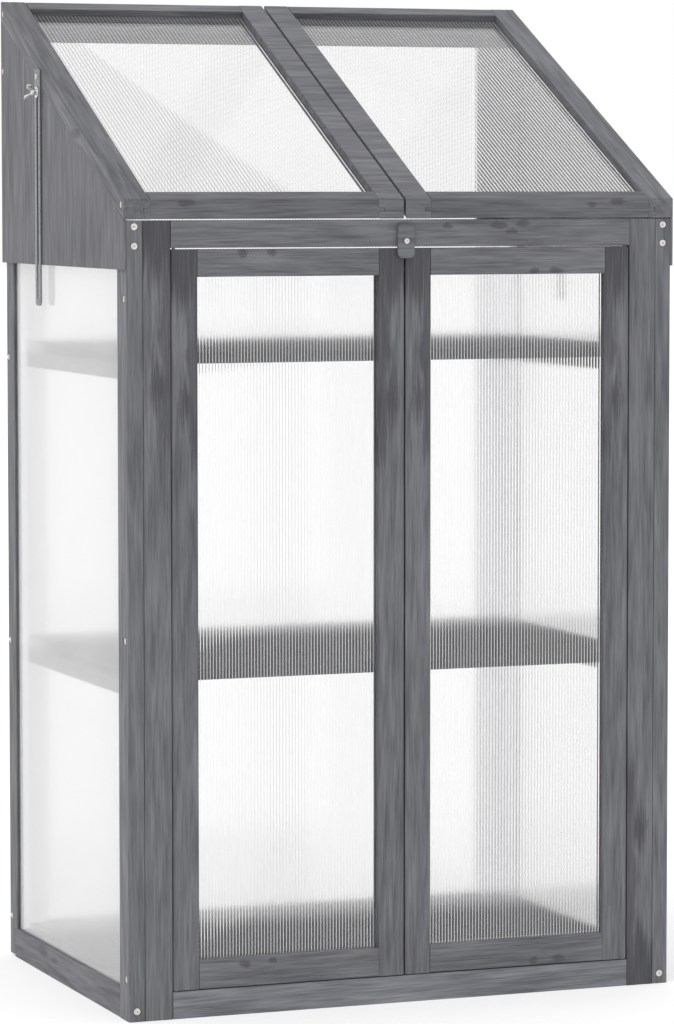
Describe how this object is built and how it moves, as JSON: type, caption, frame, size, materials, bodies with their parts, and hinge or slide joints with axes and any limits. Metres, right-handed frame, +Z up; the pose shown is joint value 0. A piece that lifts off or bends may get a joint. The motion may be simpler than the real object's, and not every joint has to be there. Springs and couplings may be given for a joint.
{
  "type": "mini greenhouse",
  "caption": "Free-standing wooden greenhouse cabinet with glazed doors that swing open, sloping roof lids held by slotted stays, and shelves.",
  "frame": {"origin": "centre of the whole cabinet's footprint, on the floor", "axes": "+X to the cabinet's right as seen from the front, +Y from the doors to the back, +Z up"},
  "size_m": [0.7334, 0.5042, 1.2066],
  "materials": {
    "stained_wood": "grey stain over planed softwood, grain and knots showing",
    "inner_wood": "grey stain over sawn softwood",
    "glazing": "clear twin-wall plastic sheet with close ribs",
    "fastener_metal": "zinc plated",
    "stay_metal": "grey zinc plate",
    "bright_metal": "bright zinc plate",
    "hinge_metal": "zinc plated"
  },
  "bodies": {
    "root": {"back_bottom_rail": "stained_wood", "back_left_stile": "stained_wood", "back_pane": "glazing", "back_right_stile": "stained_wood", "back_top_rail": "stained_wood", "door_pivot_pins": "fastener_metal", "fixed_hinge_leaves": "hinge_metal", "floor_board": "inner_wood", "frame_fasteners": "fastener_metal", "front_bottom_rail": "stained_wood", "front_left_stile": "stained_wood", "front_right_stile": "stained_wood", "front_top_rail": "stained_wood", "left_back_post": "stained_wood", "left_bottom_rail": "stained_wood", "left_front_post": "stained_wood", "left_gable_panel": "stained_wood", "left_side_pane": "glazing", "left_top_rail": "stained_wood", "lower_shelf": "inner_wood", "right_back_post": "stained_wood", "right_bottom_rail": "stained_wood", "right_front_post": "stained_wood", "right_gable_panel": "stained_wood", "right_side_pane": "glazing", "right_top_rail": "stained_wood", "shelf_cleats": "inner_wood", "upper_shelf": "inner_wood"},
    "left_door": {"left_door_bottom_rail": "stained_wood", "left_door_hinge_stile": "stained_wood", "left_door_meeting_stile": "stained_wood", "left_door_pane": "glazing", "left_door_top_rail": "stained_wood"},
    "right_door": {"right_door_bottom_rail": "stained_wood", "right_door_hinge_stile": "stained_wood", "right_door_meeting_stile": "stained_wood", "right_door_pane": "glazing", "right_door_top_rail": "stained_wood"},
    "left_lid": {"left_lid_back_rail": "stained_wood", "left_lid_front_rail": "stained_wood", "left_lid_hinge_leaves": "hinge_metal", "left_lid_inner_stile": "stained_wood", "left_lid_outer_stile": "stained_wood", "left_lid_pane": "glazing", "left_lid_screws": "fastener_metal"},
    "right_lid": {"right_lid_back_rail": "stained_wood", "right_lid_front_rail": "stained_wood", "right_lid_hinge_leaves": "hinge_metal", "right_lid_inner_stile": "stained_wood", "right_lid_outer_stile": "stained_wood", "right_lid_pane": "glazing", "right_lid_screws": "fastener_metal"},
    "turn_button": {"turn_button": "stained_wood"},
    "left_stay": {"left_stay_arm": "stay_metal"},
    "right_stay": {"right_stay_arm": "stay_metal"},
    "left_stay_slider": {"left_stay_slider": "bright_metal"},
    "right_stay_slider": {"right_stay_slider": "bright_metal"},
    "left_wing_nut": {"left_wing_nut": "bright_metal"},
    "right_wing_nut": {"right_wing_nut": "bright_metal"}
  },
  "joints": [
    {"name": "left_door_hinge", "type": "hinge", "parent": "root", "child": "left_door", "pos_m": [-0.288, -0.24115, 0.0336], "axis": [0, 0, -1], "range_deg": [0, 100]},
    {"name": "right_door_hinge", "type": "hinge", "parent": "root", "child": "right_door", "pos_m": [0.288, -0.24115, 0.0336], "axis": [0, 0, 1], "range_deg": [0, 100]},
    {"name": "left_lid_hinge", "type": "hinge", "parent": "root", "child": "left_lid", "pos_m": [-0.175, 0.24915, 1.1824], "axis": [-1, 0, 0], "range_deg": [0, 85]},
    {"name": "right_lid_hinge", "type": "hinge", "parent": "root", "child": "right_lid", "pos_m": [0.175, 0.24915, 1.1824], "axis": [-1, 0, 0], "range_deg": [0, 85]},
    {"name": "turn_button_pivot", "type": "hinge", "parent": "root", "child": "turn_button", "pos_m": [0, -0.24545, 0.9118], "axis": [0, -1, 0], "continuous": true},
    {"name": "left_stay_pivot", "type": "hinge", "parent": "left_lid", "child": "left_stay", "pos_m": [-0.3503, 0.08585, 1.10982], "axis": [1, 0, 0], "range_deg": [0, 68.3]},
    {"name": "left_stay_slide", "type": "slide", "parent": "left_stay", "child": "left_stay_slider", "axis": [0, 0, -1], "range_m": [0, 0.2415]},
    {"name": "left_wing_nut_turn", "type": "hinge", "parent": "left_stay_slider", "child": "left_wing_nut", "pos_m": [-0.3537, 0.08585, 1.09082], "axis": [-1, 0, 0], "continuous": true},
    {"name": "right_stay_pivot", "type": "hinge", "parent": "right_lid", "child": "right_stay", "pos_m": [0.3503, 0.08585, 1.10982], "axis": [1, 0, 0], "range_deg": [0, 68.3]},
    {"name": "right_stay_slide", "type": "slide", "parent": "right_stay", "child": "right_stay_slider", "axis": [0, 0, -1], "range_m": [0, 0.2415]},
    {"name": "right_wing_nut_turn", "type": "hinge", "parent": "right_stay_slider", "child": "right_wing_nut", "pos_m": [0.3537, 0.08585, 1.09082], "axis": [1, 0, 0], "continuous": true}
  ],
  "couplings": [
    {"joint": "left_stay_pivot", "follows": "left_lid_hinge", "ratio": 0.79765},
    {"joint": "left_stay_slide", "follows": "left_lid_hinge", "m_per_rad": 0.16214},
    {"joint": "right_stay_pivot", "follows": "right_lid_hinge", "ratio": 0.79765},
    {"joint": "right_stay_slide", "follows": "right_lid_hinge", "m_per_rad": 0.16214}
  ]
}
